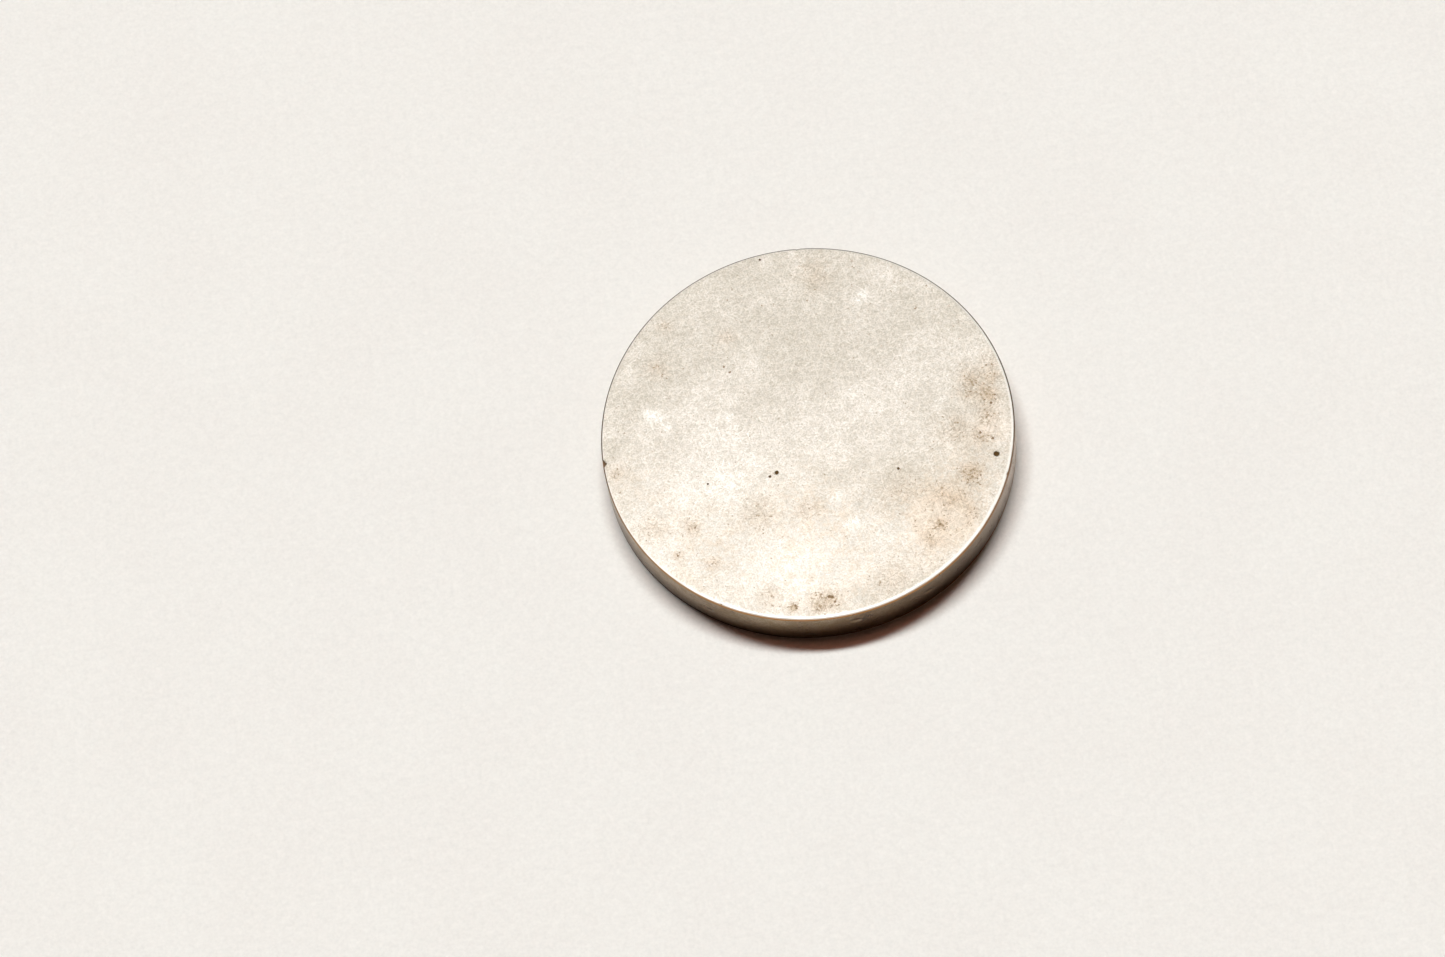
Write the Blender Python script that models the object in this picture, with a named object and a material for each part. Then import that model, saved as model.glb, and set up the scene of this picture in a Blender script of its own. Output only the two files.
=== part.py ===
"""Dealer button: a round metal disc that lies flat on a card table.

A thick steel core carries a thin nickel silver facing on each side. A film of
adhesive holds each facing to the core, and its edge shows as the fine brown
line between the face and the wall. Either face may lie uppermost.
"""

import math

import bmesh
import bpy

MM = 0.001

# Driving dimensions of the whole button
BUTTON_DIAMETER = 40.0 * MM
BUTTON_THICKNESS = 4.4 * MM

# The thin metal facing on each side
FACING_THICKNESS = 0.20 * MM
FACING_EDGE_RADIUS = 0.10 * MM
FACING_EDGE_STEPS = 3

# The film of adhesive, which stops a little short of the wall
FILM_THICKNESS = 0.06 * MM
FILM_SETBACK = 0.06 * MM

# The core, with both its corners broken
CORE_EDGE_RADIUS = 0.06 * MM
CORE_EDGE_STEPS = 2

# Air left between two faces that are bonded flat together
BOND_CLEARANCE = 0.01 * MM

# Flats round each turned piece, the circular section of its rounds, and the angle above which an
# edge stays sharp
ROUND_FLATS = 128
ROUND_PROFILE = 0.5
SHARP_ANGLE = math.radians(35.0)

# Heights from the table, worked out from the sizes above
FILM_SPACE = FILM_THICKNESS + 2.0 * BOND_CLEARANCE
CORE_THICKNESS = BUTTON_THICKNESS - 2.0 * (FACING_THICKNESS + FILM_SPACE)
LOWER_FILM_BASE = FACING_THICKNESS + BOND_CLEARANCE
CORE_BASE = FACING_THICKNESS + FILM_SPACE
UPPER_FILM_BASE = CORE_BASE + CORE_THICKNESS + BOND_CLEARANCE
UPPER_FACING_BASE = CORE_BASE + CORE_THICKNESS + FILM_SPACE


def clear_scene():
    """Remove whatever the scene starts with."""
    for scene_object in list(bpy.data.objects):
        bpy.data.objects.remove(scene_object, do_unlink=True)


def principled(name, colour, roughness, metallic):
    """A plain material of one colour."""
    material = bpy.data.materials.new(name)
    material.use_nodes = True
    shader = material.node_tree.nodes["Principled BSDF"]
    shader.inputs["Base Color"].default_value = (*colour, 1.0)
    shader.inputs["Roughness"].default_value = roughness
    shader.inputs["Metallic"].default_value = metallic
    return material


def turned_disc(name, diameter, thickness, material, rounded_rims=(), radius=0.0, steps=1):
    """A solid disc standing on its own origin, with the named rims rounded."""
    shape = bmesh.new()
    bmesh.ops.create_cone(
        shape,
        cap_ends=True,
        cap_tris=False,
        segments=ROUND_FLATS,
        radius1=diameter / 2.0,
        radius2=diameter / 2.0,
        depth=thickness,
    )
    bmesh.ops.translate(shape, verts=shape.verts, vec=(0.0, 0.0, thickness / 2.0))
    by_height = sorted(shape.faces, key=lambda face: face.calc_center_median().z)
    ends = {"bottom": by_height[0], "top": by_height[-1]}
    rims = [edge for rim in rounded_rims for edge in ends[rim].edges]
    if rims:
        bmesh.ops.bevel(
            shape,
            geom=rims,
            offset=radius,
            offset_type="OFFSET",
            segments=steps,
            profile=ROUND_PROFILE,
            affect="EDGES",
            material=-1,
        )
    bmesh.ops.recalc_face_normals(shape, faces=shape.faces)
    mesh = bpy.data.meshes.new(name)
    shape.to_mesh(mesh)
    shape.free()
    mesh.materials.append(material)
    mesh.shade_smooth()
    mesh.set_sharp_from_angle(angle=SHARP_ANGLE)
    return mesh


def place(name, mesh, parent, height, turned_over=False):
    """One named piece on the button's axis, with its own origin at the given height."""
    piece = bpy.data.objects.new(name, mesh)
    bpy.context.scene.collection.objects.link(piece)
    piece.parent = parent
    piece.location.z = height
    if turned_over:
        piece.rotation_euler.x = math.pi
    return piece


def facing_mesh():
    """Punched facing, bonded on its lower side and rounded round its outer rim."""
    nickel_silver = principled("nickel_silver", (0.76, 0.69, 0.58), 0.38, 1.0)
    return turned_disc(
        "facing",
        BUTTON_DIAMETER,
        FACING_THICKNESS,
        nickel_silver,
        rounded_rims=("top",),
        radius=FACING_EDGE_RADIUS,
        steps=FACING_EDGE_STEPS,
    )


def film_mesh():
    """Film of aged adhesive between a facing and the core."""
    adhesive = principled("aged_adhesive", (0.20, 0.10, 0.04), 0.60, 0.0)
    film_diameter = BUTTON_DIAMETER - 2.0 * FILM_SETBACK
    return turned_disc("bond_film", film_diameter, FILM_THICKNESS, adhesive)


def core_mesh():
    """Turned steel core, which gives the button its weight and its plain wall."""
    steel = principled("core_steel", (0.42, 0.39, 0.35), 0.42, 1.0)
    return turned_disc(
        "core",
        BUTTON_DIAMETER,
        CORE_THICKNESS,
        steel,
        rounded_rims=("bottom", "top"),
        radius=CORE_EDGE_RADIUS,
        steps=CORE_EDGE_STEPS,
    )


clear_scene()
button = bpy.data.objects.new("dealer_button", None)
bpy.context.scene.collection.objects.link(button)

facing = facing_mesh()
film = film_mesh()

# The lower facing is the upper one turned over, so its rounded rim meets the table
place("lower_face_plate", facing, button, FACING_THICKNESS, turned_over=True)
place("lower_bond_film", film, button, LOWER_FILM_BASE)
place("core_disc", core_mesh(), button, CORE_BASE)
place("upper_bond_film", film, button, UPPER_FILM_BASE)
place("upper_face_plate", facing, button, UPPER_FACING_BASE)
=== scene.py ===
import math
from types import SimpleNamespace

import bmesh
import bpy
import numpy as np
from mathutils import Matrix, Vector, noise


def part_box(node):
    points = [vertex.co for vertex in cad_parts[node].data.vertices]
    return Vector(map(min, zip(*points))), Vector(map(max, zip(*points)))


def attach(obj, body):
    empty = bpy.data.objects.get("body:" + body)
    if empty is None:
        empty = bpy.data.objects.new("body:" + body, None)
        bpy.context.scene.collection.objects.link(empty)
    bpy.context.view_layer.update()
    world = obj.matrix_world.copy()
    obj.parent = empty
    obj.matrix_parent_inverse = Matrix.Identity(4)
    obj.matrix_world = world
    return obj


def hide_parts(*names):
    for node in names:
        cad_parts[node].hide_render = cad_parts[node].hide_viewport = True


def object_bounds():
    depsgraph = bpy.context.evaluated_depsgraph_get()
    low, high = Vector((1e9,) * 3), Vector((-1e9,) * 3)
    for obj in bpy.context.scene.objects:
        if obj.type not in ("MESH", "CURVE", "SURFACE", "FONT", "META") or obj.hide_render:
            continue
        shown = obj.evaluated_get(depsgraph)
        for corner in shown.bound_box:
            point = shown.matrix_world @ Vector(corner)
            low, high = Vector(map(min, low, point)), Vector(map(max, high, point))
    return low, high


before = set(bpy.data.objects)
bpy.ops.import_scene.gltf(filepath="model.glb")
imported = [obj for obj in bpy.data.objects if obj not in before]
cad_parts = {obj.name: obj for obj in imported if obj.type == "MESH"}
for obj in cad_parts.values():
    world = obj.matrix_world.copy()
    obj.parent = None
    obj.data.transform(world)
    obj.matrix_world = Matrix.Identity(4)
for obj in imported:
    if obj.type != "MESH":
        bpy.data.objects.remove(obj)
cad_low, cad_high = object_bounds()


# Lower facing
# The thin nickel silver sheet on the side that lies on the table. It is punched as a round
# blank, tumbling has rolled its outer rim over, and adhesive holds it to the core.

MM = 0.001
QUARTER_TURN = math.radians(90.0)
RADIUS = cad_high.x
FACE_CELLS = 190
EDGE_RADIUS = 0.15 * MM
EDGE_STEPS = 7
EDGE_START = RADIUS - EDGE_RADIUS
RIM_ROLL_WIDTH = 0.50 * MM
RIM_ROLL_DROP = 0.010 * MM


def rim_section(bonded, outer):
    """Points of (radius, height) from the flat of the face over its rolled rim to the bonded side."""
    inwards = math.copysign(1.0, bonded - outer)
    section = []
    for step in range(1, EDGE_STEPS + 1):
        share = step / EDGE_STEPS
        radius = EDGE_START - RIM_ROLL_WIDTH * (1.0 - share)
        section.append((radius, outer + inwards * RIM_ROLL_DROP * share ** 2))
    for step in range(1, EDGE_STEPS + 1):
        turn = QUARTER_TURN * step / EDGE_STEPS
        radius = EDGE_START + EDGE_RADIUS * math.sin(turn)
        drop = RIM_ROLL_DROP + EDGE_RADIUS * (1.0 - math.cos(turn))
        section.append((radius, outer + inwards * drop))
    section.append((RADIUS, bonded))
    return section


def facing_shape(bonded, outer):
    """A fine square grid drawn out to a round face, with the rim extruded from its boundary."""
    flat_radius = EDGE_START - RIM_ROLL_WIDTH
    shape = bmesh.new()
    bmesh.ops.create_grid(shape, x_segments=FACE_CELLS, y_segments=FACE_CELLS, size=1.0)
    for corner in shape.verts:
        across, along = corner.co.x, corner.co.y
        corner.co.x = flat_radius * across * math.sqrt(1.0 - along ** 2 / 2.0)
        corner.co.y = flat_radius * along * math.sqrt(1.0 - across ** 2 / 2.0)
        corner.co.z = outer
    rim = [edge for edge in shape.edges if edge.is_boundary]
    for radius, height in rim_section(bonded, outer):
        grown = bmesh.ops.extrude_edge_only(shape, edges=rim)["geom"]
        for corner in (part for part in grown if isinstance(part, bmesh.types.BMVert)):
            outwards = radius / math.hypot(corner.co.x, corner.co.y)
            corner.co = (corner.co.x * outwards, corner.co.y * outwards, height)
        rim = [part for part in grown if isinstance(part, bmesh.types.BMEdge) and part.is_boundary]
    back = bmesh.ops.contextual_create(shape, geom=rim)["faces"]
    bmesh.ops.poke(shape, faces=back)
    bmesh.ops.recalc_face_normals(shape, faces=shape.faces)
    return shape


# The mesh is cut finer within this many half widths of a small mark, and a margin more
REFINED_REACH = 1.6
REFINED_MARGIN = 0.15 * MM
REFINED_CUTS = 2


def refine_round(shape, marks, height):
    """Cut the mesh finer round each small mark on a face, so that the mark has a true form."""
    shape.verts.ensure_lookup_table()
    shape.edges.index_update()
    places = np.array([corner.co for corner in shape.verts])
    near = np.zeros(len(places), bool)
    for x, y, half_width, *_ in marks:
        away = np.linalg.norm(places - np.array((x * MM, y * MM, height)), axis=1)
        near |= away < REFINED_REACH * half_width * MM + REFINED_MARGIN
    chosen = {shape.verts[index] for index in np.flatnonzero(near)}
    edges = {edge for corner in chosen for edge in corner.link_edges if edge.other_vert(corner) in chosen}
    in_order = sorted(edges, key=lambda edge: edge.index)
    bmesh.ops.subdivide_edges(shape, edges=in_order, cuts=REFINED_CUTS, use_grid_fill=True)


SHARP_ANGLE = math.radians(50.0)


def finished(name, shape, material, node):
    """Turn a modelled shape into a piece that stands for one node of the frame."""
    mesh = bpy.data.meshes.new(name)
    shape.to_mesh(mesh)
    shape.free()
    mesh.shade_smooth()
    mesh.set_sharp_from_angle(angle=SHARP_ANGLE)
    mesh.materials.append(material)
    piece = bpy.data.objects.new(name, mesh)
    bpy.context.scene.collection.objects.link(piece)
    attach(piece, "root")
    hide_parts(node)
    return piece


def corners_of(mesh):
    """The places of a mesh's vertices, one row each."""
    places = np.empty(len(mesh.vertices) * 3)
    mesh.vertices.foreach_get("co", places)
    return places.reshape(-1, 3)


def note_wear(mesh, **worn):
    """Keep named wear values on a mesh's vertices, for its material to read."""
    for wear, values in worn.items():
        attribute = mesh.attributes.new(wear, "FLOAT", "POINT")
        attribute.data.foreach_set("value", values.astype(np.float32))


def soft_spots(places, spots):
    """How strongly a set of soft round spots covers each place, from 0 to 1."""
    cover = np.zeros(len(places))
    for x, y, reach, strength in spots:
        away = np.hypot(places[:, 0] - x * MM, places[:, 1] - y * MM) / (reach * MM)
        cover = 1.0 - (1.0 - cover) * (1.0 - np.minimum(strength * np.exp(-away ** 2), 1.0))
    return cover


def bowl(away):
    """A round hollow: 1 at its middle, and 0 from its rim outwards."""
    return np.clip(1.0 - away ** 2, 0.0, 1.0)


def towards(angle, side, narrowness=1):
    """How squarely each angle faces a side, from 0 to 1."""
    return np.clip(np.cos(angle - side), 0.0, 1.0) ** narrowness


# Depths of pits and nicks as shares of their half width, and how many half widths rust spreads
PIT_DEPTH = 0.5
DEEPEST_PIT = 0.14 * MM
PIT_RUST_REACH = 1.4
NICK_DEPTH = 0.3
NICK_BITE = 0.45
NICK_RUST = 0.8
NICK_RUST_REACH = 1.2

# The rim's polished band, widened into a painted highlight on one side, and the stretch of the edge
# beside it that is painted bright as a highlight towards that side
BAND_LEAST = 0.08 * MM
BAND_GAIN = 0.14 * MM
BAND_SPREAD = 0.35
BAND_FADE = 0.10 * MM
BRIGHT_EDGE_TURN = math.radians(55.0)
BRIGHT_EDGE_SHARE = 0.75
BROWN_EDGE_FADE = 0.25 * EDGE_RADIUS


def worn_facing(name, node, outer, bonded, pits, nicks, spots, highlight_side):
    """Model a facing with its pits and nicks, and note on each vertex how it is worn and where its
    painted highlight and painted shade go.
    """
    shape = facing_shape(bonded, outer)
    refine_round(shape, pits + spots["mark"], outer)
    piece = finished(name, shape, worn_nickel_silver, node)
    places = corners_of(piece.data)
    inwards = math.copysign(1.0, bonded - outer)
    radius = np.hypot(places[:, 0], places[:, 1])
    on_face = np.abs(places[:, 2] - outer) < RIM_ROLL_DROP
    pitted = np.zeros(len(places))
    for x, y, half_width in pits:
        away = np.hypot(places[:, 0] - x * MM, places[:, 1] - y * MM) / (half_width * MM)
        depth = min(PIT_DEPTH * half_width * MM, DEEPEST_PIT)
        places[:, 2] += inwards * depth * bowl(away) * on_face
        pitted = np.maximum(pitted, np.clip(PIT_RUST_REACH - away, 0.0, 1.0) * on_face)
    for angle, half_width in nicks:
        turn = math.radians(angle)
        nick = np.array((RADIUS * math.cos(turn), RADIUS * math.sin(turn), outer))
        away = np.linalg.norm(places - nick, axis=1) / (half_width * MM)
        places[:, 2] += inwards * NICK_DEPTH * half_width * MM * bowl(away)
        shrink = 1.0 - NICK_BITE * half_width * MM * bowl(away) / np.maximum(radius, MM)
        places[:, 0] *= shrink
        places[:, 1] *= shrink
        pitted = np.maximum(pitted, NICK_RUST * np.clip(NICK_RUST_REACH - away, 0.0, 1.0))
    piece.data.vertices.foreach_set("co", places.ravel())

    # The rim is polished in a band, widened into a painted highlight on its highlight side
    highlight_turn = math.radians(highlight_side)
    around = np.arctan2(places[:, 1], places[:, 0])
    highlight_band = BAND_LEAST + BAND_GAIN * np.maximum(BAND_SPREAD + np.cos(around - highlight_turn), 0.0)
    # Towards the highlight side more of the edge's round is painted bright as a highlight, and the edge
    # is orange-brown there and dark grey away from it
    polish = towards(around, highlight_turn - BRIGHT_EDGE_TURN)
    brown_start = EDGE_START + BRIGHT_EDGE_SHARE * EDGE_RADIUS * polish
    note_wear(
        piece.data,
        pitted=pitted,
        rim=np.clip((radius - EDGE_START + highlight_band) / BAND_FADE, 0.0, 1.0),
        edge=np.clip((radius - brown_start) / BROWN_EDGE_FADE, 0.0, 1.0),
        polish=polish,
        **{kind: soft_spots(places, listed) for kind, listed in spots.items()},
    )
    piece.data.update()


def shader_group(name, inputs, outputs):
    """An empty node group with named inputs and outputs."""
    group = bpy.data.node_groups.new(name, "ShaderNodeTree")
    for socket, kind in inputs:
        group.interface.new_socket(socket, in_out="INPUT", socket_type=kind)
    for socket, kind in outputs:
        group.interface.new_socket(socket, in_out="OUTPUT", socket_type=kind)
    return group, group.nodes.new("NodeGroupInput"), group.nodes.new("NodeGroupOutput")


def feed(tree, socket, value):
    """Link a socket to another, or set it to a number or a colour."""
    if isinstance(value, bpy.types.NodeSocket):
        tree.links.new(value, socket)
    elif isinstance(value, tuple) and len(value) == 3 and len(socket.default_value) == 4:
        socket.default_value = (*value, 1.0)
    else:
        socket.default_value = value


def maths(tree, operation, first, second, clamp=False):
    """A maths node on two links or numbers; gives its output socket."""
    made = tree.nodes.new("ShaderNodeMath")
    made.operation = operation
    made.use_clamp = clamp
    feed(tree, made.inputs[0], first)
    feed(tree, made.inputs[1], second)
    return made.outputs[0]


def times(tree, first, second):
    """One link or number times another."""
    return maths(tree, "MULTIPLY", first, second)


def less(tree, first, second, clamp=False):
    """One link or number less another."""
    return maths(tree, "SUBTRACT", first, second, clamp)


def most(tree, first, second):
    """The greater of two links or numbers."""
    return maths(tree, "MAXIMUM", first, second)


def weighed(tree, *parts, base=None):
    """Add up links, each times its own weight, on top of a base that is a link or a number."""
    total = base
    for value, weight in parts:
        part = times(tree, value, weight)
        total = part if total is None else maths(tree, "ADD", total, part)
    return total


def cloudy(tree, vector, size, detail=2.0, roughness=0.55):
    """Noise whose features are about the given size across; gives its value socket."""
    made = tree.nodes.new("ShaderNodeTexNoise")
    made.inputs["Detail"].default_value = detail
    made.inputs["Roughness"].default_value = roughness
    tree.links.new(vector, made.inputs["Vector"])
    if isinstance(size, bpy.types.NodeSocket):
        tree.links.new(maths(tree, "DIVIDE", 1.0, size), made.inputs["Scale"])
    else:
        made.inputs["Scale"].default_value = 1.0 / size
    return made.outputs["Fac"]


def ramp(tree, value, low, high):
    """Spread the stretch from low to high smoothly over 0 to 1."""
    made = tree.nodes.new("ShaderNodeMapRange")
    made.interpolation_type = "SMOOTHSTEP"
    feed(tree, made.inputs["From Min"], low)
    feed(tree, made.inputs["From Max"], high)
    tree.links.new(value, made.inputs["Value"])
    return made.outputs["Result"]


def blend(tree, share, first, second):
    """Blend two colours by a share; each is a link or a colour."""
    made = tree.nodes.new("ShaderNodeMix")
    made.data_type = "RGBA"
    feed(tree, made.inputs["Factor"], share)
    feed(tree, made.inputs[6], first)
    feed(tree, made.inputs[7], second)
    return made.outputs[2]


def dim(tree, colour, level):
    """Brighten or darken a colour by a level."""
    made = tree.nodes.new("ShaderNodeVectorMath")
    made.operation = "SCALE"
    tree.links.new(colour, made.inputs[0])
    tree.links.new(level, made.inputs["Scale"])
    return made.outputs["Vector"]


def tinted(tree, colour, tint):
    """Multiply a colour by a tint."""
    made = tree.nodes.new("ShaderNodeVectorMath")
    made.operation = "MULTIPLY"
    feed(tree, made.inputs[0], colour)
    feed(tree, made.inputs[1], tint)
    return made.outputs["Vector"]


def graded(tree, level, weights):
    """A tint that shifts away from white with a level, each channel by its own weight."""
    made = tree.nodes.new("ShaderNodeVectorMath")
    made.operation = "MULTIPLY_ADD"
    tree.links.new(level, made.inputs[0])
    made.inputs[1].default_value = weights
    made.inputs[2].default_value = (1.0, 1.0, 1.0)
    return made.outputs["Vector"]


def stretched(tree, vector, turn, scale):
    """Turn coordinates about the disc's axis and shift them, then stretch what is drawn on them."""
    made = tree.nodes.new("ShaderNodeMapping")
    made.vector_type = "TEXTURE"
    # The shift goes with the turn, so that no two turns draw the same pattern
    made.inputs["Location"].default_value = (turn * MM, 0.0, 0.0)
    made.inputs["Rotation"].default_value = (0.0, 0.0, math.radians(turn))
    made.inputs["Scale"].default_value = scale
    tree.links.new(vector, made.inputs["Vector"])
    return made.outputs["Vector"]


def placed_group(tree, group, **values):
    """Place a node group with its inputs linked or set; gives its outputs."""
    made = tree.nodes.new("ShaderNodeGroup")
    made.node_tree = group
    for socket, value in values.items():
        feed(tree, made.inputs[socket], value)
    return made.outputs


def wear_value(tree, name):
    """Read one of the wear values kept on the piece's vertices."""
    made = tree.nodes.new("ShaderNodeAttribute")
    made.attribute_name = name
    return made.outputs["Fac"]


def new_material(name):
    """A Principled material; gives it with its tree, its shader and its object coordinates."""
    material = bpy.data.materials.new(name)
    material.use_nodes = True
    tree = material.node_tree
    place = tree.nodes.new("ShaderNodeTexCoord").outputs["Object"]
    return material, tree, tree.nodes["Principled BSDF"], place


def fine_relief(tree, shader, height, distance):
    """Relief too fine for the mesh, raised by a height value."""
    made = tree.nodes.new("ShaderNodeBump")
    made.inputs["Distance"].default_value = distance
    tree.links.new(height, made.inputs["Height"])
    tree.links.new(made.outputs["Normal"], shader.inputs["Normal"])


HAIRLINE_TURNS = (12.0, 49.0, 83.0, 118.0, 155.0)
HAIRLINE_LENGTH_IN_WIDTHS = 10.0


def hairlines_group():
    """Fine short scratches that run every way: a mask of the bright ones and one of the dark ones."""
    group, entry, leave = shader_group(
        "hairline_scratches",
        [("Vector", "NodeSocketVector"), ("Width", "NodeSocketFloat")],
        [("Bright", "NodeSocketFloat"), ("Dark", "NodeSocketFloat")],
    )
    bright, dark = 0.0, 0.0
    for turn in HAIRLINE_TURNS:
        along = stretched(group, entry.outputs["Vector"], turn, (1.0, HAIRLINE_LENGTH_IN_WIDTHS, 1.0))
        lines = cloudy(group, along, entry.outputs["Width"], detail=1.0)
        bright = most(group, bright, ramp(group, lines, 0.585, 0.68))
        dark = most(group, dark, ramp(group, less(group, 1.0, lines), 0.60, 0.70))
    group.links.new(bright, leave.inputs["Bright"])
    group.links.new(dark, leave.inputs["Dark"])
    return group


# Each kind of speck: the noise it starts from on clean metal, how much lower it starts where the
# amount is full, and the stretch of noise over which it comes in
SPECK_KINDS = {"Soft": (0.62, 0.17, 0.10), "Dark": (0.70, 0.14, 0.04)}
SPECK_PATCH_IN_SIZES = 5.0


def specks_group():
    """Specks that crowd together where the amount is high: a soft brown mask and a dark one."""
    group, entry, leave = shader_group(
        "crowded_specks",
        [("Vector", "NodeSocketVector"), ("Amount", "NodeSocketFloat"), ("Size", "NodeSocketFloat")],
        [(kind, "NodeSocketFloat") for kind in SPECK_KINDS],
    )
    vector, size = entry.outputs["Vector"], entry.outputs["Size"]
    fine = cloudy(group, vector, size, roughness=0.6)
    broad = cloudy(group, vector, times(group, size, SPECK_PATCH_IN_SIZES))
    both = weighed(group, (fine, 0.75), (broad, 0.25))
    for kind, (clean_start, drop, width) in SPECK_KINDS.items():
        start = less(group, clean_start, times(group, entry.outputs["Amount"], drop))
        mask = ramp(group, both, start, maths(group, "ADD", start, width))
        group.links.new(mask, leave.inputs[kind])
    return group


hairlines = hairlines_group()
crowded_specks = specks_group()

FACING_WEAR = ("pitted", "mark", "stain", "warmth", "cloud", "rub", "rim", "edge", "polish")
TAN_HAZE = (0.80, 0.645, 0.485)


def facing_patterns(tree, place):
    """What the facing's finish is mixed from: wear values, noises by size, hairlines and specks."""
    seen = SimpleNamespace(**{name: wear_value(tree, name) for name in FACING_WEAR})
    seen.fine_grain = cloudy(tree, place, 0.17 * MM, detail=1.0)
    seen.grain = cloudy(tree, place, 0.36 * MM, roughness=0.7)
    seen.tone = cloudy(tree, place, 0.4 * MM)
    seen.mottle = cloudy(tree, place, 1.3 * MM, detail=4.0, roughness=0.6)
    seen.veil = cloudy(tree, place, 2.4 * MM, detail=3.0, roughness=0.5)
    seen.drift = cloudy(tree, place, 7.0 * MM)
    seen.lines = placed_group(tree, hairlines, Vector=place, Width=0.15 * MM)
    seen.yellowed = ramp(tree, seen.warmth, 0.70, 1.0)
    speckled = most(tree, seen.stain, times(tree, seen.yellowed, 0.35))
    seen.specks = placed_group(tree, crowded_specks, Vector=place, Amount=speckled, Size=0.30 * MM)
    seen.patchy = times(tree, seen.stain, ramp(tree, seen.mottle, 0.28, 0.62))
    seen.rusted = ramp(tree, weighed(tree, (seen.grain, 0.9), base=seen.pitted), 0.75, 1.05)
    # The grey film of age, which partly stands for painted shade, lies thickest in the clouds and is gone
    # from the rubbed spots, which partly stand for painted highlight
    film = weighed(tree, (seen.mottle, 0.25), (seen.veil, 0.60), (seen.drift, 0.45), (seen.cloud, 0.25))
    seen.film = times(tree, ramp(tree, film, 0.45, 0.90), less(tree, 1.0, seen.rub, clamp=True))
    return seen


def aged_colour(tree, seen):
    """Bright metal under the grey film, which is partly painted shade, with a faint warm bloom that is
    partly the tint of painted glare, and a tan haze, broken by the grain.
    """
    bright_metal = (0.87, 0.809, 0.733)
    grey_film = (0.750, 0.694, 0.606)
    no_tint = (1.0, 1.0, 1.0)
    peach_tint = (1.02, 0.935, 0.845)
    colour = blend(tree, seen.film, bright_metal, grey_film)
    bloom_and_glare = weighed(tree, (seen.grain, 0.5), (seen.mottle, 0.5), (seen.fine_grain, 0.25))
    bloom_and_glare = times(tree, seen.warmth, less(tree, 1.0, ramp(tree, bloom_and_glare, 0.56, 0.70)))
    colour = tinted(tree, colour, blend(tree, bloom_and_glare, no_tint, peach_tint))
    haze = weighed(tree, (seen.grain, 0.5), (less(tree, seen.fine_grain, 0.5), 0.4), base=seen.mottle)
    haze = times(tree, seen.yellowed, ramp(tree, haze, 0.58, 0.90))
    return blend(tree, times(tree, haze, 0.75), colour, TAN_HAZE)


def stained_colour(tree, seen, colour):
    """Spots rubbed bright, partly as painted highlight, then brown stain broken up by the mottling, with
    its specks and marks.
    """
    rubbed_metal_and_highlight = (0.96, 0.92, 0.86)
    olive_stain = (0.57, 0.445, 0.295)
    brown_speck = (0.45, 0.315, 0.18)
    dark_speck = (0.21, 0.125, 0.055)
    brown_mark = (0.27, 0.17, 0.085)
    rubbed_and_highlight = weighed(tree, (seen.lines["Bright"], 0.15), base=seen.mottle)
    rubbed_and_highlight = times(tree, seen.rub, ramp(tree, rubbed_and_highlight, 0.32, 0.56))
    colour = blend(tree, rubbed_and_highlight, colour, rubbed_metal_and_highlight)
    colour = blend(tree, times(tree, seen.patchy, 0.65), colour, TAN_HAZE)
    deep = ramp(tree, weighed(tree, (seen.stain, 0.6), (seen.mottle, 0.9)), 0.72, 1.15)
    colour = blend(tree, times(tree, times(tree, deep, seen.stain), 0.55), colour, olive_stain)
    dirty_lines = times(tree, times(tree, seen.stain, seen.lines["Dark"]), 0.55)
    browned = most(tree, dirty_lines, times(tree, seen.specks["Soft"], 0.75))
    colour = blend(tree, browned, colour, brown_speck)
    colour = blend(tree, times(tree, seen.specks["Dark"], 0.45), colour, dark_speck)
    ragged = weighed(tree, (less(tree, seen.fine_grain, 0.5), 0.9), base=seen.mark)
    return blend(tree, times(tree, ramp(tree, ragged, 0.28, 0.66), 0.95), colour, brown_mark)


def satin_colour(tree, seen, colour):
    """The grain of the satin finish and its hairlines, in faintly warm and cool metal."""
    grain_weights = (0.95, 1.03, 1.27)
    warm_tint = (1.006, 0.998, 0.985)
    cool_tint = (0.996, 1.0, 1.003)
    bright_lines, dark_lines = seen.lines["Bright"], seen.lines["Dark"]
    level = weighed(
        tree, (seen.fine_grain, 0.57), (seen.grain, 0.29), (bright_lines, 0.13), (dark_lines, -0.10),
        base=-0.445)
    # The grain is fainter under the warm tint, which partly stands for painted glare
    level = times(tree, level, less(tree, 1.0, times(tree, seen.warmth, 0.50)))
    level = weighed(tree, (times(tree, bright_lines, seen.yellowed), 0.06), base=level)
    colour = tinted(tree, colour, graded(tree, level, grain_weights))
    return tinted(tree, colour, blend(tree, ramp(tree, seen.tone, 0.35, 0.65), warm_tint, cool_tint))


def edged_colour(tree, seen, colour):
    """The polished rim with its painted highlight, the rust in pits and nicks, and the edge: orange-brown
    towards the highlight side, dark grey away from it.
    """
    polished_rim_highlight = (0.95, 0.91, 0.85)
    rust = (0.105, 0.055, 0.014)
    brown_edge = (0.52, 0.245, 0.07)
    grey_edge = (0.115, 0.075, 0.042)
    # The polished rim colour, widened on the highlight side as a painted highlight
    colour = blend(tree, times(tree, seen.rim, 0.8), colour, polished_rim_highlight)
    colour = blend(tree, seen.rusted, colour, rust)
    edge_colour = blend(tree, seen.polish, grey_edge, brown_edge)
    uneven_edge = times(tree, seen.edge, weighed(tree, (seen.mottle, 0.5), base=0.75))
    return blend(tree, uneven_edge, colour, edge_colour)


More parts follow.
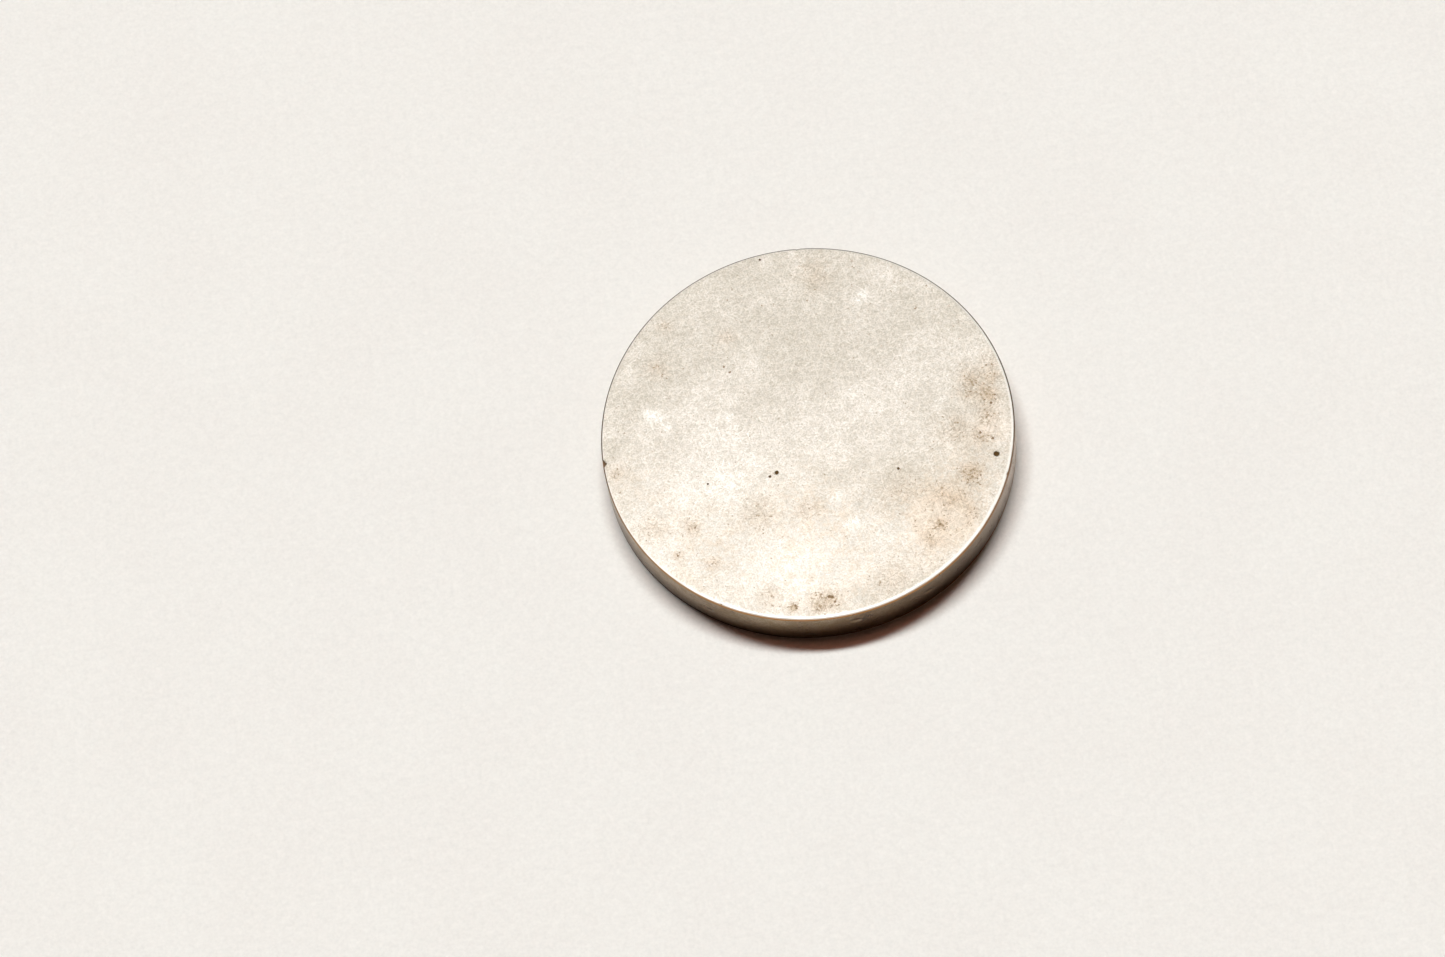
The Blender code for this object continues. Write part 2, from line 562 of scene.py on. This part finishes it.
def worn_facing_metal():
    """Satin nickel silver: clouded grey and rubbed bright in places, partly as painted shade and painted
    highlight, stained and pitted brown.
    """
    material, tree, shader, place = new_material("worn_nickel_silver")
    seen = facing_patterns(tree, place)
    colour = aged_colour(tree, seen)
    colour = stained_colour(tree, seen, colour)
    colour = satin_colour(tree, seen, colour)
    colour = edged_colour(tree, seen, colour)
    tree.links.new(colour, shader.inputs["Base Color"])
    rough = weighed(
        tree, (seen.film, 0.06), (seen.patchy, 0.08), (seen.grain, 0.06), (seen.rub, -0.05),
        (seen.rim, -0.06), (seen.rusted, 0.3), (seen.edge, -0.08), base=0.42)
    tree.links.new(rough, shader.inputs["Roughness"])
    dull = most(tree, seen.rusted, times(tree, seen.specks["Dark"], 0.8))
    dull = most(tree, dull, times(tree, seen.edge, 0.35))
    tree.links.new(less(tree, 1.0, dull, clamp=True), shader.inputs["Metallic"])
    height = weighed(tree, (seen.lines["Dark"], -0.4), (seen.specks["Dark"], -1.0), base=seen.grain)
    fine_relief(tree, shader, height, 0.007 * MM)
    return material


worn_nickel_silver = worn_facing_metal()
lower_low, lower_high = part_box("lower_face_plate")

# Wear on this face. Pits: x, y, half width. Nicks in the rim: angle, half width. Soft spots: x, y,
# reach, strength, for brown marks, brown stain, a warm bloom, grey clouds and spots rubbed bright. On
# the upper face the bloom, clouds and rubbed spots also carry painted glare, shade and highlight.
# Places and sizes are in millimetres, and angles in degrees.
lower_pits = [
    (-6.2, 3.1, 0.22), (9.4, 8.8, 0.18), (2.0, -11.5, 0.25), (-12.3, -7.4, 0.16), (14.6, -3.2, 0.2),
]
lower_nicks = [(35.0, 0.28), (122.0, 0.2), (214.0, 0.35), (301.0, 0.22)]
lower_spots = {
    "mark": [
        (-8.6, -13.4, 0.2, 0.8), (-7.4, -12.2, 0.14, 0.6), (-9.5, -11.8, 0.12, 0.5),
        (12.4, 9.6, 0.16, 0.7), (11.2, 8.1, 0.12, 0.5), (-15.6, 6.8, 0.15, 0.6),
        (-16.4, 5.1, 0.12, 0.5), (5.3, -3.4, 0.12, 0.4), (4.1, -5.2, 0.1, 0.4), (-2.7, 10.3, 0.1, 0.4),
        (7.9, -13.7, 0.12, 0.5), (0.6, 16.2, 0.12, 0.4),
    ],
    "stain": [
        (-8.0, -13.0, 5.0, 0.8), (12.0, 9.0, 4.0, 0.6), (-16.0, 6.0, 3.0, 0.7), (5.0, -4.0, 5.0, 0.35),
    ],
    "warmth": [(-6.0, -10.0, 7.0, 0.9), (10.0, 9.0, 5.0, 0.7)],
    "cloud": [(0.0, 8.0, 9.0, 1.0), (10.0, -9.0, 7.0, 0.8), (-11.0, 0.0, 6.0, 0.7)],
    "rub": [(3.5, 1.0, 1.6, 0.9), (-4.0, -8.5, 1.2, 0.8), (8.5, 14.0, 1.3, 0.9)],
}
worn_facing(
    "lower_facing", "lower_face_plate", lower_low.z, lower_high.z,
    lower_pits, lower_nicks, lower_spots, highlight_side=40.0)


# Lower bond film
# A film of adhesive holds the facing to the core. It has browned with age, and its edge was
# wiped off unevenly when the facing was pressed on.

FILM_FLATS = 480
FILM_BULGE = 0.02 * MM
FILM_WANDER = 0.03 * MM
FILM_WANDER_LENGTH = 1.4 * MM
MERGE_DISTANCE = 0.0005 * MM

# An eighth of the turn is spun, then doubled until it is whole, because one long spin is slow
SPUN_PARTS = (8, 4, 2)


def turned_shape(section, flats, cuts):
    """Spin a half section of (radius, height) points about the disc's axis into a closed shape."""
    shape = bmesh.new()
    corners = [shape.verts.new((radius, 0.0, height)) for radius, height in section]
    runs = [shape.edges.new(pair) for pair in zip(corners, corners[1:])]
    for run, count in cuts.items():
        bmesh.ops.subdivide_edges(shape, edges=[runs[run]], cuts=count)
    bmesh.ops.spin(
        shape,
        geom=shape.verts[:] + shape.edges[:],
        cent=(0.0, 0.0, 0.0),
        axis=(0.0, 0.0, 1.0),
        angle=math.tau / SPUN_PARTS[0],
        steps=flats // SPUN_PARTS[0],
    )
    for parts in SPUN_PARTS:
        copied = bmesh.ops.duplicate(shape, geom=shape.verts[:] + shape.edges[:] + shape.faces[:])["geom"]
        bmesh.ops.rotate(
            shape,
            verts=[part for part in copied if isinstance(part, bmesh.types.BMVert)],
            cent=(0.0, 0.0, 0.0),
            matrix=Matrix.Rotation(math.tau / parts, 3, "Z"),
        )
    bmesh.ops.remove_doubles(shape, verts=shape.verts, dist=MERGE_DISTANCE)
    bmesh.ops.recalc_face_normals(shape, faces=shape.faces)
    return shape


def adhesive():
    """Browned adhesive with darker dirt caught along it."""
    brown_glue = (0.27, 0.14, 0.06)
    dark_dirt = (0.09, 0.05, 0.03)
    material, tree, shader, place = new_material("browned_adhesive")
    dirt = cloudy(tree, place, 1.6 * MM, detail=3.0)
    colour = blend(tree, ramp(tree, dirt, 0.35, 0.70), brown_glue, dark_dirt)
    tree.links.new(colour, shader.inputs["Base Color"])
    tree.links.new(weighed(tree, (dirt, 0.3), base=0.45), shader.inputs["Roughness"])
    fine_relief(tree, shader, cloudy(tree, place, 0.2 * MM), 0.01 * MM)
    return material


def bond_film(name, node):
    """A thin disc whose edge bulges and wanders a little, as wiped adhesive does."""
    low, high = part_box(node)
    shoulder = high.x - FILM_BULGE
    middle = (low.z + high.z) / 2.0
    section = [(0.0, high.z), (shoulder, high.z), (high.x, middle), (shoulder, low.z), (0.0, low.z)]
    shape = turned_shape(section, FILM_FLATS, {})
    for corner in shape.verts:
        if corner.co.xy.length > shoulder - FILM_BULGE:
            outwards = corner.co.xy.normalized()
            corner.co.xy += outwards * noise.noise(corner.co / FILM_WANDER_LENGTH) * FILM_WANDER
    finished(name, shape, browned_adhesive, node)


browned_adhesive = adhesive()
bond_film("lower_bond", "lower_bond_film")


# Core
# The solid steel disc that gives the button its weight. Its wall was turned in a lathe, and
# handling has left it dinged, dulled and blotched. Painted shade darkens the wall towards its foot
# and on one side, and a painted reflection brightens it on the side that is rubbed bare.

CORE_CORNER = 0.06 * MM
CORNER_STEPS = 3
WALL_ROWS = 26
WALL_FLATS = 720
WALL_SKIN = 0.5 * MM


def tarnished_core_steel():
    """Turned steel, dulled and blotched with olive and brown tarnish, with painted shade and a painted
    reflection on its wall.
    """
    pale_steel = (0.37, 0.285, 0.19)
    dull_steel = (0.275, 0.205, 0.13)
    olive_blotch = (0.25, 0.175, 0.09)
    brown_speck = (0.20, 0.13, 0.08)
    dark_speck = (0.09, 0.055, 0.035)
    bare_steel = (0.81, 0.735, 0.65)
    rubbed_lip = (0.60, 0.57, 0.52)
    dark_grime = (0.105, 0.06, 0.03)
    brown_smear = (0.46, 0.21, 0.05)
    dirty_smear = (0.16, 0.08, 0.03)

    material, tree, shader, place = new_material("tarnished_steel")
    grain = cloudy(tree, place, 0.18 * MM, roughness=0.7)
    blotch = cloudy(tree, place, 1.1 * MM, detail=4.0, roughness=0.6)
    drift = cloudy(tree, place, 5.0 * MM)
    turning = cloudy(tree, stretched(tree, place, 0.0, (50.0, 50.0, 1.0)), 0.07 * MM)
    amount = ramp(tree, drift, 0.35, 0.70)
    specks = placed_group(tree, crowded_specks, Vector=place, Amount=amount, Size=0.35 * MM)
    worn_bare = wear_value(tree, "bare")

    colour = blend(tree, amount, pale_steel, dull_steel)
    colour = blend(tree, times(tree, ramp(tree, blotch, 0.45, 0.60), 0.6), colour, olive_blotch)
    colour = blend(tree, times(tree, specks["Soft"], 0.45), colour, brown_speck)
    colour = blend(tree, times(tree, specks["Dark"], 0.8), colour, dark_speck)
    colour = dim(tree, colour, weighed(tree, (ramp(tree, grain, 0.25, 0.75), 0.40), base=0.80))
    # On the bare side the steel shows in patches, brightened as a painted reflection of the lit table
    patches = ramp(tree, weighed(tree, (grain, 0.3), base=blotch), 0.30, 0.90)
    colour = blend(tree, times(tree, worn_bare, patches), colour, bare_steel)
    colour = blend(tree, wear_value(tree, "ding"), colour, rubbed_lip)
    # Painted shade along the foot of the wall and on its shaded side
    colour = blend(tree, times(tree, wear_value(tree, "grime"), 0.78), colour, dark_grime)
    smear = times(tree, wear_value(tree, "smear"), ramp(tree, blotch, 0.25, 0.45))
    colour = blend(tree, smear, colour, blend(tree, worn_bare, brown_smear, dirty_smear))
    tree.links.new(colour, shader.inputs["Base Color"])

    tree.links.new(weighed(tree, (blotch, 0.20), base=0.20), shader.inputs["Roughness"])
    dull = most(tree, times(tree, specks["Dark"], 0.7), times(tree, smear, 0.3))
    tree.links.new(less(tree, 1.0, dull), shader.inputs["Metallic"])
    fine_relief(tree, shader, weighed(tree, (grain, 0.8), base=turning), 0.008 * MM)
    return material


def core_section(low, high):
    """Half section of the core, with both its corners rounded; gives it with the run that is the wall."""
    turns = [QUARTER_TURN * step / CORNER_STEPS for step in range(CORNER_STEPS + 1)]
    section = [(0.0, high)]
    for turn in turns:
        inset, drop = CORE_CORNER * (1.0 - math.sin(turn)), CORE_CORNER * (1.0 - math.cos(turn))
        section.append((RADIUS - inset, high - drop))
    wall_run = len(section) - 1
    for turn in turns:
        inset, rise = CORE_CORNER * (1.0 - math.cos(turn)), CORE_CORNER * (1.0 - math.sin(turn))
        section.append((RADIUS - inset, low + rise))
    section.append((0.0, low))
    return section, wall_run


# Dings: half widths in millimetres, how many times longer than high, and depth as a share of half width
DING_COUNT = 34
DING_SEED = 11
DING_HALF_WIDTHS = (0.12, 0.38)
DING_STRETCHES = (0.8, 2.2)
DING_DEPTH = 0.16
LIP_SHARPNESS = 3.0
LIP_STRENGTH = 0.45


def press_dings(places, on_wall, low, high):
    """Press small dings into the wall where the button was knocked; gives where their lips are rubbed."""
    draws = np.random.RandomState(DING_SEED)
    angle = np.arctan2(places[:, 1], places[:, 0])
    lips = np.zeros(len(places))
    for _ in range(DING_COUNT):
        turn = draws.uniform(0.0, math.tau)
        height = draws.uniform(low, high)
        half_width = draws.uniform(*DING_HALF_WIDTHS) * MM
        stretch = draws.uniform(*DING_STRETCHES)
        lip_turn = draws.uniform(0.0, math.tau)
        along = (np.mod(angle - turn + math.pi, math.tau) - math.pi) * RADIUS / stretch
        above = places[:, 2] - height
        away = np.hypot(along, above) / half_width
        shrink = 1.0 - bowl(away) * on_wall * DING_DEPTH * half_width / RADIUS
        places[:, 0] *= shrink
        places[:, 1] *= shrink
        lip = np.clip(1.0 - np.abs(away - 1.0) * LIP_SHARPNESS, 0.0, 1.0)
        lips = np.maximum(lips, lip * towards(np.arctan2(above, along), lip_turn) * on_wall)
    return lips


SHADED_SIDE = math.radians(305.0)
BARE_AND_REFLECTION_SIDE = math.radians(346.0)
SMEAR_LEAST = 0.20 * MM
SMEAR_GAIN = 0.30 * MM
SMEAR_FADE = 0.15 * MM


def wear_wall(piece, low, high):
    """Ding the core's wall, and note on each vertex where it is rubbed, bare and painted with a
    reflection, darkened by painted shade, or smeared.
    """
    places = corners_of(piece.data)
    angle = np.arctan2(places[:, 1], places[:, 0])
    on_wall = np.hypot(places[:, 0], places[:, 1]) > RADIUS - WALL_SKIN
    lips = press_dings(places, on_wall, low, high)
    piece.data.vertices.foreach_set("co", places.ravel())

    # One side is rubbed bare and brightened with a painted reflection, and painted shade lies along the
    # foot of the wall and thicker beside the bare side
    below = np.clip((high - places[:, 2]) / (high - low), 0.0, 1.0)
    bare = towards(angle, BARE_AND_REFLECTION_SIDE, narrowness=8)
    shaded_side = towards(angle, SHADED_SIDE, narrowness=6)
    grime = np.maximum(below ** 1.5 * (1.0 - 0.7 * bare), shaded_side * (0.75 + 0.25 * below))

    # Adhesive was squeezed out over the upper corner of the wall, most of it on the near side, and
    # it ran furthest down on the bare side
    squeezed = np.maximum(np.clip(0.35 - 0.65 * np.sin(angle), 0.0, 1.0), bare)
    run_down = SMEAR_LEAST + SMEAR_GAIN * bare
    smear = np.clip((run_down - high + places[:, 2]) / SMEAR_FADE, 0.0, 1.0) * squeezed * on_wall
    note_wear(piece.data, ding=LIP_STRENGTH * lips, bare=bare, grime=grime, smear=smear)
    piece.data.update()


core_low, core_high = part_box("core_disc")
core_outline, core_wall_run = core_section(core_low.z, core_high.z)
core_shape = turned_shape(core_outline, WALL_FLATS, {core_wall_run: WALL_ROWS})
core = finished("core", core_shape, tarnished_core_steel(), "core_disc")
wear_wall(core, core_low.z, core_high.z)


# Upper bond film
# The same adhesive under the facing that shows. Its edge is part of the fine brown line between
# the face and the wall.

bond_film("upper_bond", "upper_bond_film")


# Upper facing
# The same sheet on the side that shows. It has had the most handling: brown stain and pits spread in
# from the right and near edges. Its far half is clouded grey and its near half rubbed bright and warm,
# partly from wear and partly as painted shade and painted highlight.

upper_low, upper_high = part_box("upper_face_plate")
upper_pits = [
    (17.6, -5.5, 0.3), (-3.5, -4.0, 0.22), (-4.2, -4.3, 0.14), (8.1, -5.5, 0.15), (-2.1, 19.3, 0.13),
    (-10.2, -4.1, 0.12),
]
upper_nicks = [(180.8, 0.42), (85.2, 0.22), (337.0, 0.2), (52.0, 0.14), (238.0, 0.16)]
upper_spots = {
    "mark": [
        # Near edge
        (-0.3, -17.8, 0.2, 0.95), (0.0, -17.9, 0.16, 0.9), (0.2, -18.4, 0.17, 0.9),
        (-3.6, -18.2, 0.15, 0.85), (-3.5, -18.5, 0.14, 0.8), (-1.2, -18.7, 0.45, 0.32),
        (-1.6, -19.0, 0.26, 0.45), (-1.2, -17.2, 0.18, 0.45), (0.5, -18.8, 0.18, 0.5),
        (-0.2, -18.8, 0.18, 0.5), (1.8, -18.7, 0.13, 0.45), (-4.3, -18.3, 0.15, 0.4),
        (-2.9, -17.6, 0.13, 0.4), (4.4, -17.3, 0.12, 0.45),
        # Right edge
        (17.9, 0.0, 0.17, 0.9), (18.4, 0.8, 0.15, 0.7), (18.4, 0.3, 0.14, 0.65), (17.4, 0.4, 0.14, 0.6),
        (17.1, 0.6, 0.14, 0.5), (19.0, -0.4, 0.12, 0.45), (17.7, -1.5, 0.13, 0.55),
        (16.7, -1.2, 0.12, 0.45), (16.7, 1.7, 0.13, 0.5), (16.7, 2.9, 0.12, 0.5),
        (19.2, 2.1, 0.11, 0.5), (18.9, 2.5, 0.12, 0.45), (18.8, 5.5, 0.1, 0.5), (16.6, 4.3, 0.15, 0.35),
        (15.9, -3.6, 0.13, 0.5), (17.5, -3.8, 0.18, 0.8), (16.4, -3.0, 0.18, 0.8),
        # Right of the near half
        (15.0, -7.1, 0.36, 0.4), (15.1, -6.8, 0.14, 0.55), (11.2, -12.0, 0.17, 0.7),
        (12.0, -10.7, 0.13, 0.5), (10.1, -13.0, 0.14, 0.6), (14.7, -11.5, 0.36, 0.35),
        (12.0, -8.6, 0.15, 0.45), (14.6, -8.4, 0.15, 0.5), (15.0, -8.1, 0.16, 0.55),
        (15.4, -7.8, 0.17, 0.55), (15.8, -7.5, 0.16, 0.55), (16.2, -7.2, 0.14, 0.5),
        (8.4, -5.6, 0.14, 0.5),
        # Left of the near half
        (-7.5, -5.8, 0.11, 0.5), (-8.6, -6.5, 0.12, 0.45), (-12.0, -8.5, 0.16, 0.65),
        (-12.6, -8.6, 0.14, 0.6), (-11.8, -7.0, 0.1, 0.5), (-15.7, -6.8, 0.1, 0.45),
        (-16.5, -8.3, 0.14, 0.55), (-15.3, -8.3, 0.12, 0.45), (-16.8, -9.1, 0.12, 0.55),
        (-14.0, -11.2, 0.13, 0.75), (-13.8, -10.9, 0.12, 0.7), (-10.9, -12.6, 0.16, 0.55),
        (-10.3, -12.5, 0.13, 0.45), (-7.1, -7.8, 0.1, 0.4), (-11.9, -0.9, 0.1, 0.4),
        (-10.6, -1.9, 0.1, 0.4),
        # Far half
        (-13.2, 8.1, 0.15, 0.45), (-13.3, 9.7, 0.11, 0.4), (-14.1, 7.3, 0.12, 0.35),
        (-8.8, 1.6, 0.1, 0.45), (-8.3, 1.0, 0.1, 0.5), (-6.4, 11.6, 0.14, 0.4), (-7.1, 8.2, 0.17, 0.7),
        (-6.6, 7.5, 0.18, 0.75), (-6.9, 7.1, 0.14, 0.5),
    ],
    "stain": [
        # Near edge
        (6.0, -16.8, 1.6, 0.45), (-0.1, -18.2, 0.9, 0.85), (-1.5, -18.5, 1.0, 0.8),
        (-1.4, -17.5, 0.7, 0.6), (-3.8, -18.4, 0.6, 0.95), (-5.8, -17.0, 1.3, 0.45),
        # Right edge
        (17.8, 0.6, 1.0, 0.8), (17.0, 1.9, 1.4, 0.6), (18.4, 2.8, 1.0, 0.52), (16.4, -3.2, 1.3, 0.55),
        (16.2, 3.4, 1.2, 0.38), (18.6, 4.6, 1.0, 0.38), (15.6, 1.6, 1.2, 0.3), (17.6, -1.6, 1.2, 0.48),
        (13.8, -2.2, 1.8, 0.4),
        # Right of the near half
        (14.9, -7.0, 1.2, 0.85), (11.8, -8.6, 1.6, 0.5), (11.2, -12.0, 0.9, 0.85),
        (14.4, -11.2, 1.2, 0.5), (10.2, -13.2, 0.9, 0.65), (8.2, -7.8, 2.0, 0.35),
        (9.6, -14.8, 2.0, 0.35), (13.2, -9.6, 1.5, 0.45),
        # Left of the near half
        (-10.8, -12.5, 0.7, 0.75), (-14.0, -11.2, 0.5, 0.7), (-16.0, -7.8, 1.3, 0.45),
        (-12.3, -8.4, 1.0, 0.7), (-5.6, -8.2, 2.0, 0.4), (-1.0, -8.6, 1.3, 0.4),
        (-18.8, -1.6, 1.0, 0.5),
        # Far half
        (-12.3, 13.6, 0.8, 0.3), (2.8, 16.8, 1.8, 0.35), (-13.4, 9.0, 1.1, 0.35),
        (-6.5, 11.2, 0.9, 0.4),
    ],
    # Warm tint, mostly over the near half: partly real, partly the tint of painted glare
    "warmth": [
        (0.0, -14.0, 7.0, 0.7), (11.5, -11.5, 4.0, 1.5), (-12.0, -10.5, 5.0, 0.75),
        (14.5, -7.5, 3.5, 0.5), (-1.0, -8.5, 4.0, 0.4), (17.3, -3.0, 2.5, 0.4), (17.5, 0.5, 2.0, 0.2),
        (-17.0, -3.0, 3.0, 0.3),
    ],
    # Grey clouds, most of them over the far half: partly real tarnish, partly painted shade
    "cloud": [
        (-13.0, 9.2, 3.5, 0.9), (-0.4, 9.5, 4.0, 0.7), (4.2, 5.4, 2.0, 0.6), (12.5, 11.0, 3.5, 0.8),
        (2.5, 16.5, 4.0, 0.55), (-4.4, 3.8, 2.6, 0.8), (13.8, -2.0, 2.0, 0.7), (8.2, -7.6, 2.4, 0.6),
        (-6.7, 11.2, 2.0, 0.8), (14.0, -11.4, 1.4, 0.5), (7.0, 8.0, 5.0, 0.4), (-12.0, 14.0, 4.0, 0.6),
        (17.2, 1.5, 2.0, 0.5), (-8.0, -9.0, 3.0, 0.3), (-2.0, 16.5, 5.0, 0.6), (-11.5, -11.0, 4.0, 0.5),
        (12.5, -10.5, 4.0, 0.7), (-16.0, 6.0, 2.5, 0.8),
    ],
    # Spots rubbed bright: the small ones are real wear, the broad ones are painted highlight
    "rub": [
        (-15.1, 4.4, 0.5, 0.75), (-14.5, 4.0, 0.5, 0.75), (-13.9, 3.6, 0.35, 0.6),
        (-13.4, 2.6, 0.4, 0.75), (7.4, 13.8, 0.5, 0.7), (6.8, 13.2, 0.5, 0.6), (10.3, 13.8, 0.5, 0.5),
        (1.7, -7.4, 0.7, 0.9), (3.0, -10.5, 0.7, 1.0), (-7.3, 2.7, 0.4, 0.8), (13.1, 0.9, 0.6, 0.35),
        (-3.0, -14.5, 5.0, 0.4), (-12.0, -9.5, 6.0, 0.35), (-9.0, -4.0, 3.0, 0.3),
        (14.5, 3.5, 2.5, 0.1), (5.0, -13.0, 2.5, 0.3), (11.5, -11.5, 4.0, 0.35),
    ],
}
worn_facing(
    "upper_facing", "upper_face_plate", upper_high.z, upper_low.z,
    upper_pits, upper_nicks, upper_spots, highlight_side=320.0)


# Table
# The plain pale top that the button lies on. It is matt and faintly textured, and it takes the
# button's shadow.

TABLE_SIZE = 6.0
TABLE_GAP = 0.01 * MM


def pale_table_top():
    """Pale matt paint with a soft mottle, a fine grain and faint relief."""
    pale_paint = (0.88, 0.85, 0.80)
    aged_paint = (0.87, 0.835, 0.785)
    material, tree, shader, place = new_material("pale_table_top")
    mottle = ramp(tree, cloudy(tree, place, 14.0 * MM, detail=3.0), 0.3, 0.7)
    grain = cloudy(tree, place, 0.9 * MM, detail=4.0, roughness=0.7)
    fine_grain = cloudy(tree, place, 0.34 * MM, detail=1.0)
    colour = blend(tree, mottle, pale_paint, aged_paint)
    colour = dim(tree, colour, weighed(tree, (grain, 0.14), (fine_grain, 0.12), base=0.87))
    tree.links.new(colour, shader.inputs["Base Color"])
    shader.inputs["Roughness"].default_value = 0.85
    shader.inputs["Specular IOR Level"].default_value = 0.2
    fine_relief(tree, shader, cloudy(tree, place, 0.5 * MM, detail=4.0), 0.035 * MM)
    return material


table_shape = bmesh.new()
bmesh.ops.create_grid(table_shape, x_segments=1, y_segments=1, size=TABLE_SIZE / 2.0)
bmesh.ops.translate(table_shape, verts=table_shape.verts, vec=(0.0, 0.0, -TABLE_GAP))
table_mesh = bpy.data.meshes.new("table")
table_shape.to_mesh(table_mesh)
table_shape.free()
table_mesh.materials.append(pale_table_top())
table = bpy.data.objects.new("table", table_mesh)
bpy.context.scene.collection.objects.link(table)


# Light
# A row of soft lamps high behind the button makes one long key light, with its glare filtered off
# the metal. A weak warm lamp softens the shadow, a broad lamp overhead gives the metal its sheen,
# and the surround is pale.

KEY_ENERGY = 3.32
KEY_COLOUR = (0.890, 0.980, 1.0)
KEY_SPREAD = 7.0
KEY_ELEVATION = 71.0
KEY_SWINGS = (-18.0, -12.0, -6.0, 0.0, 6.0, 12.0)
WARM_COLOUR = (1.0, 0.38, 0.24)


def sun_lamp(name, energy, spread, elevation, swing):
    """A soft distant lamp; swing turns it from straight behind the button to the right."""
    data = bpy.data.lights.new(name, "SUN")
    data.energy = energy
    data.angle = math.radians(spread)
    lamp = bpy.data.objects.new(name, data)
    towards_lamp = Vector((0.0, 0.0, 1.0))
    towards_lamp.rotate(Matrix.Rotation(math.radians(elevation) - QUARTER_TURN, 3, "X"))
    towards_lamp.rotate(Matrix.Rotation(math.radians(swing), 3, "Y"))
    lamp.rotation_euler = towards_lamp.to_track_quat("Z", "Y").to_euler()
    bpy.context.scene.collection.objects.link(lamp)
    return lamp


for key_number, key_swing in enumerate(KEY_SWINGS, 1):
    key_share = KEY_ENERGY / len(KEY_SWINGS)
    key_lamp = sun_lamp(f"key_lamp_{key_number}", key_share, KEY_SPREAD, KEY_ELEVATION, key_swing)
    key_lamp.data.color = KEY_COLOUR
    key_lamp.visible_glossy = False
warm_lamp = sun_lamp("warm_lamp", energy=0.41, spread=18.0, elevation=79.0, swing=-2.0)
warm_lamp.data.color = WARM_COLOUR
warm_lamp.visible_glossy = False
sheen_lamp = sun_lamp("sheen_lamp", energy=0.85, spread=20.0, elevation=80.0, swing=-3.4)
sheen_lamp.visible_diffuse = False


def pale_surround():
    """A pale room that the camera and the metal see, with a dim warm fill for everything else."""
    low_wall = (0.86, 0.835, 0.793)
    low_wall_mirrored = (1.0, 0.971, 0.922)
    ceiling = (0.164, 0.160, 0.155)
    dark_front = (0.16, 0.12, 0.09)
    warm_fill = (1.0, 0.42, 0.30)
    fill_strength = 0.02

    surround = bpy.data.worlds.new("pale_surround")
    surround.use_nodes = True
    sky = surround.node_tree
    sky.nodes.clear()
    rays = sky.nodes.new("ShaderNodeLightPath").outputs
    direction = sky.nodes.new("ShaderNodeSeparateXYZ")
    sky.links.new(sky.nodes.new("ShaderNodeTexCoord").outputs["Generated"], direction.inputs["Vector"])
    low_colour = blend(sky, rays["Is Glossy Ray"], low_wall, low_wall_mirrored)
    room = blend(sky, ramp(sky, direction.outputs["Z"], 0.40, 0.85), low_colour, ceiling)

    # What the table throws back at the metal comes from a room that is dark on the near side
    shaded_room = blend(sky, ramp(sky, direction.outputs["Y"], -0.40, 0.20), dark_front, room)
    off_table = maths(sky, "MINIMUM", rays["Diffuse Depth"], 1.0)
    shown = sky.nodes.new("ShaderNodeBackground")
    sky.links.new(blend(sky, off_table, room, shaded_room), shown.inputs["Color"])
    fill = sky.nodes.new("ShaderNodeBackground")
    feed(sky, fill.inputs["Color"], warm_fill)
    fill.inputs["Strength"].default_value = fill_strength
    seen = most(sky, rays["Is Camera Ray"], rays["Is Glossy Ray"])
    seen = most(sky, seen, rays["Is Transmission Ray"])
    mixed = sky.nodes.new("ShaderNodeMixShader")
    sky.links.new(seen, mixed.inputs["Fac"])
    sky.links.new(fill.outputs["Background"], mixed.inputs[1])
    sky.links.new(shown.outputs["Background"], mixed.inputs[2])
    sky_out = sky.nodes.new("ShaderNodeOutputWorld")
    sky.links.new(mixed.outputs["Shader"], sky_out.inputs["Surface"])
    return surround


bpy.context.scene.world = pale_surround()


# Camera
# A long lens looking steeply down at the button, tilted a little to one side, with the
# button right of the middle of the picture.

PICTURE_WIDTH = 1445.0
PICTURE_HEIGHT = 957.0
FOCAL_PIXELS = 5000.0
BUTTON_PIXEL = Vector((807.25, 430.3))
VIEW_ELEVATION = math.radians(63.33)
VIEW_ROLL = math.radians(-8.58)
VIEW_DISTANCE = 24.11 * RADIUS
SENSOR_WIDTH = 36.0
NEAREST_SEEN = 0.01
FURTHEST_SEEN = 20.0

camera_data = bpy.data.cameras.new("photo_camera")
camera_data.sensor_width = SENSOR_WIDTH
camera_data.lens = SENSOR_WIDTH * FOCAL_PIXELS / PICTURE_WIDTH
camera_data.clip_start = NEAREST_SEEN
camera_data.clip_end = FURTHEST_SEEN
camera = bpy.data.objects.new("photo_camera", camera_data)
bpy.context.scene.collection.objects.link(camera)
bpy.context.scene.camera = camera
face_centre = Vector((0.0, 0.0, cad_high.z))
towards_camera = Vector((0.0, -math.cos(VIEW_ELEVATION), math.sin(VIEW_ELEVATION)))
aim = towards_camera.to_track_quat("Z", "Y").to_matrix()
roll = Matrix.Rotation(VIEW_ROLL, 3, "Z")
button_ray = Vector((
    (BUTTON_PIXEL.x - PICTURE_WIDTH / 2.0) / FOCAL_PIXELS,
    (PICTURE_HEIGHT / 2.0 - BUTTON_PIXEL.y) / FOCAL_PIXELS,
    -1.0,
))
off_centre = button_ray.rotation_difference(Vector((0.0, 0.0, -1.0))).to_matrix()
camera_place = Matrix.Translation(face_centre + towards_camera * VIEW_DISTANCE)
camera.matrix_world = camera_place @ (aim @ roll @ off_centre).to_4x4()

bpy.context.scene.view_settings.view_transform = "Standard"
